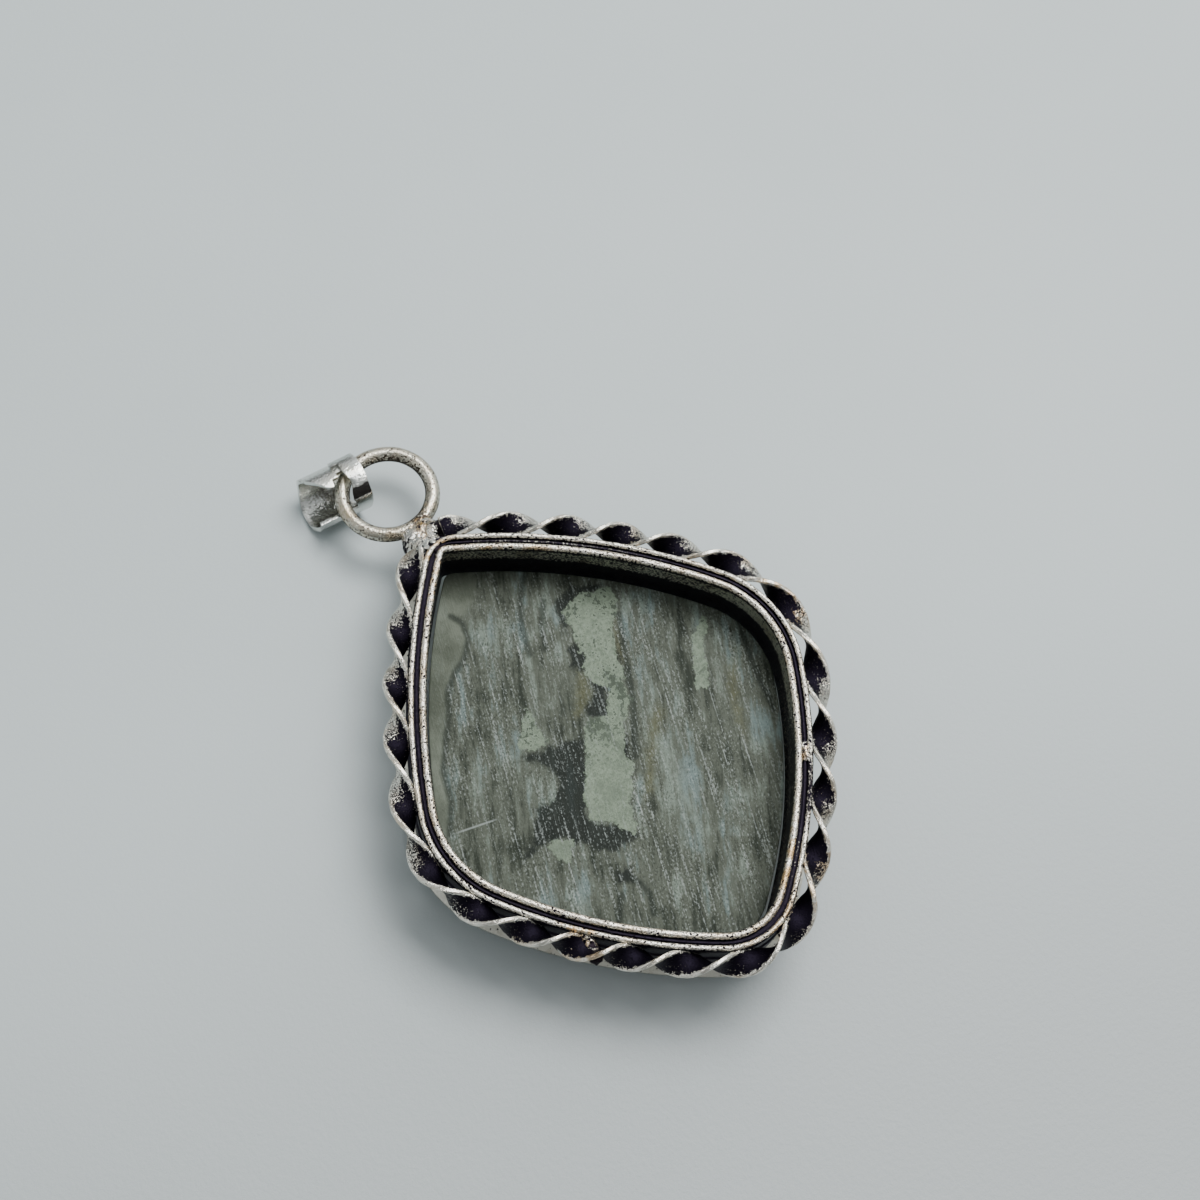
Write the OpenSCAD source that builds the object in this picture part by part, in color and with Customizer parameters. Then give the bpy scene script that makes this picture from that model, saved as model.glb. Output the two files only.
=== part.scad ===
// Cabochon pendant lying on the dome of its stone, with the open back of the frame up.
// Millimetres. X runs across the pendant, Y from the far corner to the ring, Z up.
// The floor is Z = 0, and the origin is the middle of the pendant's footprint.

/* [Outline of the frame] */
// Distance of each side corner's centre from the frame's middle line
side_corner_x = 6.85; // [6:0.05:8]
// Radius of the two side corners
side_corner_r = 8.2; // [7:0.1:9]
// Sideways place of the ring corner's centre
ring_corner_x = -0.65; // [-1:0.05:0]
// Distance of the ring corner's centre from the side corners' line
ring_corner_y = 16.2; // [15:0.1:17]
// Radius of the ring corner
ring_corner_r = 2.5; // [2.2:0.1:3]
// Sideways place of the far corner's centre
far_corner_x = -0.9; // [-1.5:0.05:0]
// Distance of the far corner's centre from the side corners' line
far_corner_y = 12.7; // [12:0.1:14]
// Radius of the far corner
far_corner_r = 4.8; // [4:0.1:5.5]
// Radii of the four bulging sides, clockwise from the ring corner
side_arc_r = [45, 39, 41, 51]; // [30:1:60]

/* [Bezel wall and rim wires] */
// Height of the rim above the floor
rim_z = 7.2; // [7:0.1:8]
// Height of the wall's front edge above the floor
wall_front_z = 1.7; // [1.5:0.1:1.9]
// Distance from the outline to the wall's outer face
wall_out = 0.6; // [0.5:0.05:0.62]
// Distance from the outline to the wall's inner face, just under the inner wire
wall_in = 0.66; // [0.6:0.02:0.68]
// How far the wall steps in at the seat strip
seat_step = 0.14; // [0.1:0.02:0.2]
// Height of the seat strip's upper edge above the floor
seat_z = 5.3; // [4.5:0.1:5.8]
// Radius of the outer rim wire
outer_wire_r = 0.21; // [0.18:0.01:0.24]
// Radius of the inner rim wire
inner_wire_r = 0.275; // [0.24:0.005:0.3]
// Distance from the outline to the middle of each rim wire
wire_off = 0.42; // [0.4:0.01:0.44]
// Depth of the groove between the two rim wires
groove_depth = 0.45; // [0.35:0.05:0.6]
// Thickness of the strip edge that shows in the groove
strip_t = 0.11; // [0.08:0.01:0.14]
// How far that strip edge stands above the groove's floor
strip_h = 0.22; // [0.1:0.02:0.3]
// Width of the lip that holds the stone's front edge
lip_w = 0.65; // [0.5:0.05:0.8]
// Thickness of that lip
lip_t = 0.32; // [0.3:0.02:0.4]

/* [Twisted ribbon] */
// Width of the flat strip that is twisted
ribbon_w = 1.94; // [1.8:0.02:2.1]
// Thickness of that strip
ribbon_t = 0.42; // [0.36:0.02:0.5]
// Distance from the outline to the ribbon's axis
ribbon_off = 1.52; // [1.45:0.01:1.55]
// Depth of the ribbon's axis under the rim
ribbon_depth = 0.65; // [0.4:0.05:1]
// Number of half twists in a whole round
half_twists = 24; // [20:1:28]
// Length without ribbon at the ring corner, each way from its middle
ribbon_gap = 1.25; // [1:0.05:1.5]
// How far the hand twisting runs ahead or behind, in degrees of twist: once, twice and four times a round
drift = [42, 25, 22]; // [0:1:50]

/* [Ring] */
// Radius of the ring at the middle of its wire
ring_r = 3.43; // [3.3:0.01:3.6]
// Radius of the ring's wire
ring_wire_r = 0.57; // [0.5:0.01:0.6]
// Distance of the ring's middle from the side corners' line
ring_y = 26; // [25.9:0.02:26.1]
// Sideways place of the ring's middle
ring_x = -0.14; // [-0.3:0.02:0]
// Height of the ring's middle above the floor
ring_z = 3.35; // [3.3:0.01:3.4]
// How far the ring's outer end dips, in degrees
ring_dip = 3; // [2:0.5:4]

/* [Stone] */
// Height of the stone's flat back above the floor
stone_back_z = 3.1; // [3:0.05:3.2]
// Height of the stone's widest line, where the dome starts
girdle_z = 2.2; // [2.1:0.05:2.3]
// Play between the stone and the metal
stone_play = 0.08; // [0.06:0.01:0.1]
// How square the dome is: 2 is a round cap, more is flatter in the middle
dome_power = 2.6; // [2.2:0.1:3]

/* [Bail] */
// Outer radius of the bail's rolled sheet
bail_r = 2.15; // [2.1:0.01:2.2]
// Thickness of the bail's sheet
bail_t = 0.33; // [0.3:0.01:0.36]
// Length of the bail along the chain
bail_len = 4.55; // [4.4:0.05:4.7]
// Sideways place of the middle of the bail's open end
bail_x = -5.1; // [-5.3:0.05:-4.9]
// Distance of that place from the side corners' line
bail_y = 29.35; // [29.2:0.05:29.5]
// Direction of the bail's bore, in degrees from X
bail_turn = -10.2; // [-11:0.1:-9.5]
// Angle around the bore where the wall beside the frame ends
near_edge = 167; // [165:1:168]
// Length along the bail where the strap starts
strap_from = 3.15; // [3:0.05:3.3]

/* [Hidden] */

// Fineness of round pieces, sections and small beads
round_fn = 96;
ring_steps = 56;
wire_fn = 12;
wire_steps = 8;
bead_fn = 12;
// Largest turn and largest length between two stations of the bezel
corner_step = 6.5;
side_step = 3.2;
// Overlap of pieces that are soldered into one
weld = 0.05;

// The footprint's middle, which is moved to the origin
ribbon_reach = ribbon_off + ribbon_w / 2;
x_low = -side_corner_x - side_corner_r - ribbon_reach;
x_high = side_corner_x + side_corner_r + ribbon_reach;
y_low = -far_corner_y - far_corner_r - ribbon_reach;
y_high = bail_y + bail_r * cos(bail_turn);
middle = [(x_low + x_high) / 2, (y_low + y_high) / 2, 0];

// Corner arcs as [x, y, radius], clockwise seen from above: ring, right, far, left
corners = [
    [ring_corner_x, ring_corner_y, ring_corner_r],
    [side_corner_x, 0, side_corner_r],
    [far_corner_x, -far_corner_y, far_corner_r],
    [-side_corner_x, 0, side_corner_r]
];

// Direction of a vector in degrees, and an angle brought into 0 to 360
function heading(v) = atan2(v[1], v[0]);
function wrap(a) = a - 360 * floor(a / 360);
function flat(p) = [p[0], p[1]];

// Centre of the big arc of radius R that touches two corner arcs from outside
function side_centre(a, b, R) =
    let (d = norm(flat(b) - flat(a)), p = R - a[2], q = R - b[2],
         along = (p * p - q * q + d * d) / (2 * d),
         across = sqrt(p * p - along * along),
         u = (flat(b) - flat(a)) / d)
    flat(a) + u * along + [u[1], -u[0]] * across;
side_centres = [for (i = [0:3]) side_centre(corners[i], corners[(i + 1) % 4], side_arc_r[i])];

// The whole outline as arcs [centre, radius, start heading, sweep], each turning clockwise
function corner_arc(i) =
    let (c = flat(corners[i]), from = heading(c - side_centres[(i + 3) % 4]), to = heading(c - side_centres[i]))
    [c, corners[i][2], from, wrap(from - to)];
function side_arc(i) =
    let (c = side_centres[i], from = heading(flat(corners[i]) - c), to = heading(flat(corners[(i + 1) % 4]) - c))
    [c, side_arc_r[i], from, wrap(from - to)];
arcs = [for (i = [0:3]) each [corner_arc(i), side_arc(i)]];

// Length of each arc of the outline moved out by off, and the whole round
function arc_len(a, off) = (a[1] + off) * a[3] * PI / 180;
function sum(v, n, i = 0) = i >= n ? 0 : v[i] + sum(v, n, i + 1);
function round_len(off) = sum([for (a = arcs) arc_len(a, off)], 8);

// Point and outward heading at length s along the outline moved out by off
function arc_at(s, off, i = 0) =
    let (l = arc_len(arcs[i], off))
    (s <= l || i == 7)
        ? let (a = arcs[i], h = a[2] - s / (a[1] + off) * 180 / PI)
            [a[0][0] + (a[1] + off) * cos(h), a[0][1] + (a[1] + off) * sin(h), h]
        : arc_at(s - l, off, i + 1);
function on_outline(s, off) = let (L = round_len(off)) arc_at(s - L * floor(s / L), off);

// Stations along the outline, closer together in the corners: [x, y, outward heading]
stations = [for (a = arcs)
    let (n = ceil(max(a[3] / corner_step, a[3] * a[1] * PI / 180 / side_step)))
    for (k = [0:n - 1])
        let (h = a[2] - a[3] * k / n)
        [a[0][0] + a[1] * cos(h), a[0][1] + a[1] * sin(h), h]];

// Section of the bezel, [distance out, height]: a wall with a grooved rim, a seat strip and a front lip
groove_z = rim_z - groove_depth;
seat_in = wall_in + seat_step;
lip_in = seat_in + lip_w;
lip_z = girdle_z - stone_play;
lip_edge_z = lip_z - lip_w / 2;
strip_x = (inner_wire_r - outer_wire_r) / 2;
// Each rim wire is round down to these headings, where it meets the wall
outer_low = -50;
inner_low = -40;
function rim_wire(x, r, low) = [for (k = [0:wire_steps])
    let (h = low + (180 - 2 * low) * k / wire_steps) [x + r * cos(h), rim_z - r + r * sin(h)]];
bezel_section = concat(
    [[-lip_in, lip_edge_z - lip_t], [wall_out - lip_t, wall_front_z], [wall_out, wall_front_z + lip_t],
     [wall_out, groove_z]],
    rim_wire(wire_off, outer_wire_r, outer_low),
    [[wire_off - outer_wire_r * cos(outer_low), groove_z], [strip_x + strip_t / 2, groove_z],
     [strip_x + strip_t / 2, groove_z + strip_h], [strip_x - strip_t / 2, groove_z + strip_h],
     [strip_x - strip_t / 2, groove_z]],
    rim_wire(-wire_off, inner_wire_r, inner_low),
    [[-wall_in, groove_z - seat_step], [-wall_in, seat_z + seat_step], [-seat_in, seat_z],
     [-seat_in, lip_z], [-lip_in, lip_edge_z]]
);
module bezel() {
    n = len(stations);
    m = len(bezel_section);
    polyhedron(
        [for (p = stations, q = bezel_section) [p[0] + q[0] * cos(p[2]), p[1] + q[0] * sin(p[2]), q[1]]],
        [for (i = [0:n - 1], k = [0:m - 1])
            let (a = m * i + k, b = m * i + (k + 1) % m, j = m * ((i + 1) % n),
                 c = j + k, d = j + (k + 1) % m)
            each [[a, d, b], [a, c, d]]]
    );
}

// The flat strip, swept along the frame while it twists
ribbon_z = rim_z - ribbon_depth;
ribbon_round = round_len(ribbon_off);
corner_mid = arc_len(arcs[0], ribbon_off) / 2;
// Twist where the outline starts, and the phase of each part of the drift
twist_start = -198;
drift_phase = [102, -94, 119];
function twist(s) =
    let (t = 360 * s / ribbon_round)
    twist_start + half_twists * t / 2 + drift[0] * sin(t + drift_phase[0])
        + drift[1] * sin(2 * t + drift_phase[1]) + drift[2] * sin(4 * t + drift_phase[2]);
// A point of the strip's section: w across its width, t across its thickness
function ribbon_point(s, w, t) =
    let (p = on_outline(s, ribbon_off), a = twist(s), r = w * cos(a) + t * sin(a))
    [p[0] + r * cos(p[2]), p[1] + r * sin(p[2]), ribbon_z - w * sin(a) + t * cos(a)];
ribbon_steps = half_twists * 8;
ribbon_rings = [for (i = [0:ribbon_steps])
    let (s = corner_mid + ribbon_gap + (ribbon_round - 2 * ribbon_gap) * i / ribbon_steps,
         w = ribbon_w / 2, t = ribbon_t / 2)
    each [ribbon_point(s, w, t), ribbon_point(s, -w, t), ribbon_point(s, -w, -t), ribbon_point(s, w, -t)]];
module ribbon() {
    last = 4 * ribbon_steps;
    polyhedron(ribbon_rings, concat(
        [[0, 1, 2, 3], [last + 3, last + 2, last + 1, last]],
        [for (i = [0:ribbon_steps - 1], k = [0:3])
            let (a = 4 * i + k, b = 4 * i + (k + 1) % 4)
            each [[a, a + 4, b + 4], [a, b + 4, b]]]
    ));
}

// The ring at the corner
module ring() {
    translate([ring_x, ring_y, ring_z]) rotate([-ring_dip, 0, 0])
        rotate_extrude($fn = ring_steps) translate([ring_r, 0]) circle(r = ring_wire_r, $fn = wire_fn);
}

// Solder runs, each drawn between two beads [length along the outline, distance out, height, radius]:
// the web under the ring, the closed joint of the wires, and the joints of the ribbon
solder = [
    [[1.42, 0.5, 6.4, 0.75], [1.18, 1.3, 5.7, 0.9]],
    [[1.18, 1.3, 5.7, 0.9], [1.04, 2.5, 4.4, 0.85]],
    [[1.04, 2.5, 4.4, 0.85], [1.17, 3.5, 3.7, 0.7]],
    [[1.31, 0.8, 5, 0.8], [1.03, 2, 4.2, 0.8]],
    [[0.41, 0.5, 5.5, 0.65], [0.73, 1.7, 4.8, 0.7]],
    [[2.51, 0.6, 5.6, 0.7], [1.56, 1.8, 4.8, 0.7]],
    [[37.9, 0.02, 7, 0.25], [38.9, 0.12, 7, 0.26]],
    [[51.2, 0.9, 6.5, 0.4], [51.3, 1.9, 6.4, 0.35]],
    [[64.7, 0.5, 6.5, 0.5], [63.9, 1.9, 6.3, 0.6]]
];
module bead(b) {
    p = on_outline(b[0], 0);
    translate([p[0] + b[1] * cos(p[2]), p[1] + b[1] * sin(p[2]), b[2]]) sphere(r = b[3], $fn = bead_fn);
}

module setting() {
    color([0.72, 0.71, 0.66]) translate(-middle) {
        bezel();
        ribbon();
        ring();
        for (run = solder) hull() {
            bead(run[0]);
            bead(run[1]);
        }
    }
}

// The stone: flat back up, straight edge, low dome down
stone_in = seat_in + stone_play;
outline_steps = 72;
dome_rings = [1, 0.98, 0.95, 0.9, 0.8, 0.66, 0.48, 0.3, 0.12];
apex = dome_rings[len(dome_rings) - 1];
function dome_z(f) = girdle_z * pow((f - apex) / (1 - apex), dome_power);
stone_outline = [for (k = [0:outline_steps - 1])
    let (p = on_outline(round_len(-stone_in) * k / outline_steps, -stone_in)) flat(p)];
module stone() {
    rows = len(dome_rings);
    color([0.45, 0.5, 0.45]) translate(-middle)
        polyhedron(
            concat(
                [for (p = stone_outline) [p[0], p[1], stone_back_z]],
                [for (f = dome_rings, p = stone_outline) [p[0] * f, p[1] * f, dome_z(f)]]
            ),
            concat(
                [[for (k = [0:outline_steps - 1]) k]],
                [for (j = [0:rows - 1], k = [0:outline_steps - 1])
                    let (a = outline_steps * j, n = (k + 1) % outline_steps)
                    each [[a + k, a + outline_steps + k, a + outline_steps + n],
                          [a + k, a + outline_steps + n, a + n]]],
                [[for (k = [outline_steps - 1:-1:0]) rows * outline_steps + k]]
            )
        );
}

// The bail: a rolled sheet with a cut-away top, closed by a narrow strap over the ring.
// Around the bore 0 degrees points away from the frame, 90 is up and 180 points at the frame.
bail_in = bail_r - bail_t;
far_edge = 38;
flap_tip = 100;
flap_root = 83;
band_edge = 73;
side_edge = 18;
strap_ends = [46, 143];
strap_root = 138;
strap_foot = 61;
// Along the bore: the flap's length, where the band behind it ends, and the strap's foot
flap_slant = 39.1;
flap_len = 2.05;
band_from = 2.65;
side_from = 3.6;
foot_from = 2.5;
// The end by the strap is cut at a slant below its strap
end_slant = 24;
end_high = 1;
// The strap is bent by hand, so its edges don't line up with the sheet's
strap_skew = 0.06;
clear = 1;
cut = 16;
// Part of a rolled layer between two radii, two angles and two lengths
module rolled(r1, r2, from, to, a, b) {
    rotate([0, 0, from])
        rotate_extrude(angle = to - from, $fn = round_fn)
            translate([r1, a]) square([r2 - r1, b - a]);
}
module opening(from, to, a, b) {
    rolled(bail_in - clear, bail_r + clear, from, to, a, b);
}
module bail() {
    color([0.78, 0.79, 0.79]) translate(-middle)
        translate([bail_x, bail_y, bail_r])
            rotate([0, 0, bail_turn]) rotate([90, 0, 90]) {
                difference() {
                    rotate_extrude($fn = round_fn) translate([bail_in, 0]) square([bail_t, bail_len]);
                    opening(flap_tip - 1, near_edge, -clear, strap_from);
                    opening(flap_root, flap_tip, flap_len, bail_len + clear);
                    opening(band_edge, flap_root + 1, band_from, bail_len + clear);
                    opening(flap_tip - 1, strap_root, flap_len, bail_len + clear);
                    opening(side_edge, band_edge + 1, side_from, bail_len + clear);
                    translate([bail_r * cos(far_edge), bail_r * sin(far_edge), 0])
                        rotate([0, flap_slant, 0]) translate([-cut / 2, -weld, -cut]) cube(cut);
                    translate([0, end_high, bail_len])
                        rotate([end_slant, 0, 0]) translate([-cut / 2, -cut, 0]) cube(cut);
                }
                rolled(bail_r - weld, bail_r + bail_t, strap_ends[0], strap_ends[1],
                    strap_from - strap_skew, bail_len - strap_skew);
                rolled(bail_r - weld, bail_r + bail_t, strap_ends[0], strap_foot,
                    foot_from, strap_from);
            }
}

stone();
setting();
bail();
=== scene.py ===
import math

import bmesh
import bpy
import numpy as np
from mathutils import Matrix, Vector


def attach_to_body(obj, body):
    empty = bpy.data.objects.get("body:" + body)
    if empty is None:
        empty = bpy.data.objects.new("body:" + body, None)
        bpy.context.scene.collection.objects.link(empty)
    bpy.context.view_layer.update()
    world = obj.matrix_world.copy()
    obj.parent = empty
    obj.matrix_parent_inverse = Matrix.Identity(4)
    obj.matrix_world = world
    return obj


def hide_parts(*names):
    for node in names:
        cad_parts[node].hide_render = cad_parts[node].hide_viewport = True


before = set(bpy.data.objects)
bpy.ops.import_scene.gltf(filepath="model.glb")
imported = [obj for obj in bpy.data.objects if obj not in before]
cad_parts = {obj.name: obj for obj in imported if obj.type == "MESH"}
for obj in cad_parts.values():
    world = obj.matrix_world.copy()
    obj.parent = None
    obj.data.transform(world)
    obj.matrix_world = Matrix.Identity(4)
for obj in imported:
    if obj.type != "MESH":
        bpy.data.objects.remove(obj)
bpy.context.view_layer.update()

# THE SURFACE, THE LIGHT AND THE CAMERA
# The pendant lies face down on a pale coated board under one broad soft lamp,
# and the camera stands almost over it.
MM = 0.001
CAMERA_AT = Vector((-37.03, -30.108, 143.85)) * MM
LAMP_AT = Vector((0.25, 0.075, 0.47))
BOARD_HALF = 2

camera_data = bpy.data.cameras.new("camera")
camera_data.sensor_width = 36
camera_data.lens = 60
camera_data.clip_start = 0.01
camera_data.clip_end = 10
camera = bpy.data.objects.new("camera", camera_data)
view_right = Vector((0.7578, -0.6472, 0.0824)).normalized()
view_back = -Vector((0.2912, 0.2225, -0.9304)).normalized()
view_up = view_back.cross(view_right).normalized()
view_right = view_up.cross(view_back)
turned = Matrix((view_right, view_up, view_back)).transposed().to_4x4()
camera.matrix_world = Matrix.Translation(CAMERA_AT) @ turned
bpy.context.scene.collection.objects.link(camera)
bpy.context.scene.camera = camera


def add(tree, kind, inputs=None, **settings):
    """A new node. Its inputs are numbers, colours or other nodes' outputs, by name or place."""
    made = tree.nodes.new(kind)
    for name, value in settings.items():
        setattr(made, name, value)
    for name, value in (inputs or {}).items():
        socket = made.inputs[name]
        if isinstance(value, bpy.types.NodeSocket):
            tree.links.new(value, socket)
        else:
            socket.default_value = value
    return made


def calc(tree, operation, a, b=0.0):
    """Two numbers or outputs joined by one operation of the Math node."""
    return add(tree, "ShaderNodeMath", {0: a, 1: b}, operation=operation).outputs[0]


def plus(tree, a, b):
    return calc(tree, "ADD", a, b)


def minus(tree, a, b):
    return calc(tree, "SUBTRACT", a, b)


def times(tree, a, b):
    return calc(tree, "MULTIPLY", a, b)


def rise(tree, value, low, high, start=0.0, end=1.0):
    """Goes smoothly from start to end while the value goes from low to high."""
    ends = {"Value": value, "From Min": low, "From Max": high, "To Min": start, "To Max": end}
    return add(tree, "ShaderNodeMapRange", ends, interpolation_type="SMOOTHSTEP").outputs["Result"]


def grain(tree, place, scale, detail=3.0, roughness=0.55):
    """Noise about nought, with scale lumps a millimetre."""
    noise = add(tree, "ShaderNodeTexNoise", {"Vector": place, "Scale": scale, "Detail": detail,
                                             "Roughness": roughness})
    return minus(tree, noise.outputs["Fac"], 0.5)


def tinted(tree, amount, a, b):
    """Colour a going to colour b."""
    return add(tree, "ShaderNodeMix", {0: amount, 6: a, 7: b}, data_type="RGBA").outputs[2]


def between(tree, amount, a, b):
    """Number a going to number b."""
    return add(tree, "ShaderNodeMix", {0: amount, 2: a, 3: b}, data_type="FLOAT").outputs[0]


def in_mm(tree):
    """The surface's own place in millimetres."""
    place = add(tree, "ShaderNodeTexCoord").outputs["Object"]
    by = (1 / MM, 1 / MM, 1 / MM)
    return add(tree, "ShaderNodeVectorMath", {0: place, 1: by}, operation="MULTIPLY").outputs[0]


def new_material(name):
    """A material, its node tree and its shader."""
    material = bpy.data.materials.new(name)
    material.use_nodes = True
    return material, material.node_tree, material.node_tree.nodes["Principled BSDF"]


floor_mesh = bpy.data.meshes.new("floor")
board_corners = [(x * BOARD_HALF, y * BOARD_HALF, 0) for x, y in ((-1, -1), (1, -1), (1, 1), (-1, 1))]
floor_mesh.from_pydata(board_corners, [], [(0, 1, 2, 3)])
floor = bpy.data.objects.new("floor", floor_mesh)
bpy.context.scene.collection.objects.link(floor)
board, tree, shader = new_material("pale_board")
place = in_mm(tree)
tone = rise(tree, grain(tree, place, 0.03, 4), -0.25, 0.25)
board_color = tinted(tree, tone, (0.49, 0.55, 0.554, 1), (0.515, 0.572, 0.578, 1))
# Painted shade: the board darkens towards the camera's side, a painted fall-off of the lamp's light, and its
# grain grows deeper there.
across = add(tree, "ShaderNodeSeparateXYZ", {0: place})
toward_camera = plus(tree, times(tree, across.outputs[0], 0.45), across.outputs[1])
painted_shade_side = rise(tree, toward_camera, 5, -45)
board_color = tinted(tree, painted_shade_side, board_color, (0.43, 0.465, 0.468, 1))
tree.links.new(board_color, shader.inputs["Base Color"])
relief = times(tree, grain(tree, place, 2.2, 3, 0.7), between(tree, painted_shade_side, 0.4, 1.2))
relief = add(tree, "ShaderNodeBump", {"Height": relief, "Strength": 0.35, "Distance": 0.0001})
tree.links.new(relief.outputs[0], shader.inputs["Normal"])
shader.inputs["Roughness"].default_value = 0.55
floor_mesh.materials.append(board)


def facing(tree, place, direction, low, high):
    """One around a direction in the room, going to nought away from it."""
    toward = {0: place, 1: Vector(direction).normalized()}
    toward = add(tree, "ShaderNodeVectorMath", toward, operation="DOT_PRODUCT")
    return rise(tree, toward.outputs["Value"], low, high)


world = bpy.data.worlds.new("room")
bpy.context.scene.world = world
world.use_nodes = True
tree = world.node_tree
place = add(tree, "ShaderNodeTexCoord").outputs["Generated"]
# Paler overhead, with a bright window on one side, a dim one on the other and a dark patch above.
room = tinted(tree, facing(tree, place, (0, 0, 1), 0.1, 0.95), (0.12, 0.12, 0.12, 1), (0.66, 0.69, 0.7, 1))
room = tinted(tree, facing(tree, place, (0.72, 0.25, 0.7), 0.5, 0.95), room, (1.5, 1.55, 1.56, 1))
room = tinted(tree, facing(tree, place, (-0.75, 0.5, 0.45), 0.8, 0.95), room, (0.95, 1.0, 1.02, 1))
room = tinted(tree, facing(tree, place, (-0.35, -0.3, 0.9), 0.93, 0.99), room, (0.12, 0.12, 0.12, 1))
tree.links.new(room, tree.nodes["Background"].inputs["Color"])
tree.nodes["Background"].inputs["Strength"].default_value = 0.85
lamp_data = bpy.data.lights.new("lamp", "AREA")
lamp_data.shape = "RECTANGLE"
lamp_data.size = 0.34
lamp_data.size_y = 0.26
lamp_data.energy = 3.1
lamp = bpy.data.objects.new("lamp", lamp_data)
lamp.location = LAMP_AT
lamp.rotation_euler = (-LAMP_AT).to_track_quat("-Z", "Y").to_euler()
bpy.context.scene.collection.objects.link(lamp)

# THE BEZEL WALL
# One strip of silver bent round the stone and soldered at a corner, stepped
# inside where a second strip is soldered in as a seat, with its front edge
# rolled over the stone. Its outline is eight arcs that touch, four of them corners.
CORNERS = [(-0.65, 16.2, 2.5), (6.85, 0, 8.2), (-0.9, -12.7, 4.8), (-6.85, 0, 8.2)]
SIDE_RADII = [45, 39, 41, 51]
MIDDLE = np.array((0, 5.738))
RIM_Z = 7.2
GROOVE_Z = 6.75
WALL_OUT, WALL_IN, SEAT_IN, SEAT_Z = 0.6, 0.66, 0.8, 4.9
LIP_IN, LIP_LOW, LIP_HIGH = 1.45, 1.495, 1.815


def heading(v):
    """A direction in degrees."""
    return math.degrees(math.atan2(v[1], v[0]))


def meeting(a, b, p, q, hand):
    """The point at a distance p from a and q from b, on one hand of the line from a to b."""
    step = np.subtract(b, a)
    d = np.hypot(*step)
    along = (p * p - q * q + d * d) / (2 * d)
    u = step / d
    return np.array(a) + u * along + hand * np.array((u[1], -u[0])) * math.sqrt(p * p - along * along)


SIDE_CENTRES = []
for i, radius in enumerate(SIDE_RADII):
    a, b = CORNERS[i], CORNERS[(i + 1) % 4]
    SIDE_CENTRES.append(meeting(a[:2], b[:2], radius - a[2], radius - b[2], 1))


def outline_arcs(ring_corner_r):
    """The outline's arcs [x, y, radius, start, sweep], with its ring corner bent to that radius."""
    tip = meeting(SIDE_CENTRES[0], SIDE_CENTRES[3], SIDE_RADII[0] - ring_corner_r,
                  SIDE_RADII[3] - ring_corner_r, -1)
    corners = [(*tip, ring_corner_r)] + CORNERS[1:]
    arcs = []
    for i in range(4):
        c, n = np.array(corners[i][:2]), np.array(corners[(i + 1) % 4][:2])
        start, end = heading(c - SIDE_CENTRES[i - 1]), heading(c - SIDE_CENTRES[i])
        arcs.append((*c, corners[i][2], start, (start - end) % 360))
        start, end = heading(c - SIDE_CENTRES[i]), heading(n - SIDE_CENTRES[i])
        arcs.append((*SIDE_CENTRES[i], SIDE_RADII[i], start, (start - end) % 360))
    return np.array(arcs)


ARCS = outline_arcs(CORNERS[0][2])


def arc_lengths(out, arcs=ARCS):
    """Each arc's length when the outline is moved out by out."""
    return np.radians(arcs[:, 4]) * (arcs[:, 2] + out)


def on_outline(s, out, arcs=ARCS):
    """Points and outward headings (radians) at lengths s along the outline moved out by out."""
    lengths = arc_lengths(out, arcs)
    ends = np.cumsum(lengths)
    s = np.asarray(s, float) % ends[-1]
    k = np.minimum(np.searchsorted(ends, s), 7)
    radius = arcs[k, 2] + out
    turn = np.radians(arcs[k, 3]) - (s - (ends - lengths)[k]) / radius
    return np.stack((arcs[k, 0] + radius * np.cos(turn), arcs[k, 1] + radius * np.sin(turn)), 1), turn


def off_outline(points, arcs=ARCS):
    """Length along the outline, distance out from it and outward heading, for points in the part's frame."""
    x, y = points[:, 0] + MIDDLE[0], points[:, 1] + MIDDLE[1]
    best_s, best_r, best_turn = np.zeros(len(x)), np.full(len(x), 99.0), np.zeros(len(x))
    lengths = arc_lengths(0, arcs)
    for k, (cx, cy, radius, start, sweep) in enumerate(arcs):
        turn = (start + 2 - np.degrees(np.arctan2(y - cy, x - cx))) % 360 - 2
        r = np.hypot(x - cx, y - cy) - radius
        use = (turn > -0.5) & (turn < sweep + 0.5) & (np.abs(r) < np.abs(best_r))
        best_s[use] = (np.cumsum(lengths) - lengths)[k] + np.radians(turn[use]) * radius
        best_r[use] = r[use]
        best_turn[use] = np.arctan2(y - cy, x - cx)[use]
    return best_s, best_r, best_turn


def frame_path(step, out, z, start=0.0, end=None, arcs=ARCS):
    """Points every step along the outline moved out by out, and their lengths along it."""
    total = arc_lengths(out, arcs).sum()
    end_s = total if end is None else end
    s = np.linspace(start, end_s, int(round((end_s - start) / step)), endpoint=end is not None)
    xy, _ = on_outline(s, out, arcs)
    return np.column_stack((xy - MIDDLE, np.full(len(s), z))), s


def maker_tree(name, *inputs):
    """A node tree that makes a piece from a mesh. Its inputs are numbers, apart from Section and Finish."""
    tree = bpy.data.node_groups.new(name, "GeometryNodeTree")
    tree.is_modifier = True
    kinds = {"Geometry": "Geometry", "Section": "Object", "Finish": "Material"}
    tree.interface.new_socket("Geometry", in_out="OUTPUT", socket_type="NodeSocketGeometry")
    for key in ("Geometry", *inputs, "Finish"):
        kind = "NodeSocket" + kinds.get(key, "Float")
        tree.interface.new_socket(key, in_out="INPUT", socket_type=kind)
    return tree, add(tree, "NodeGroupInput").outputs


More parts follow.
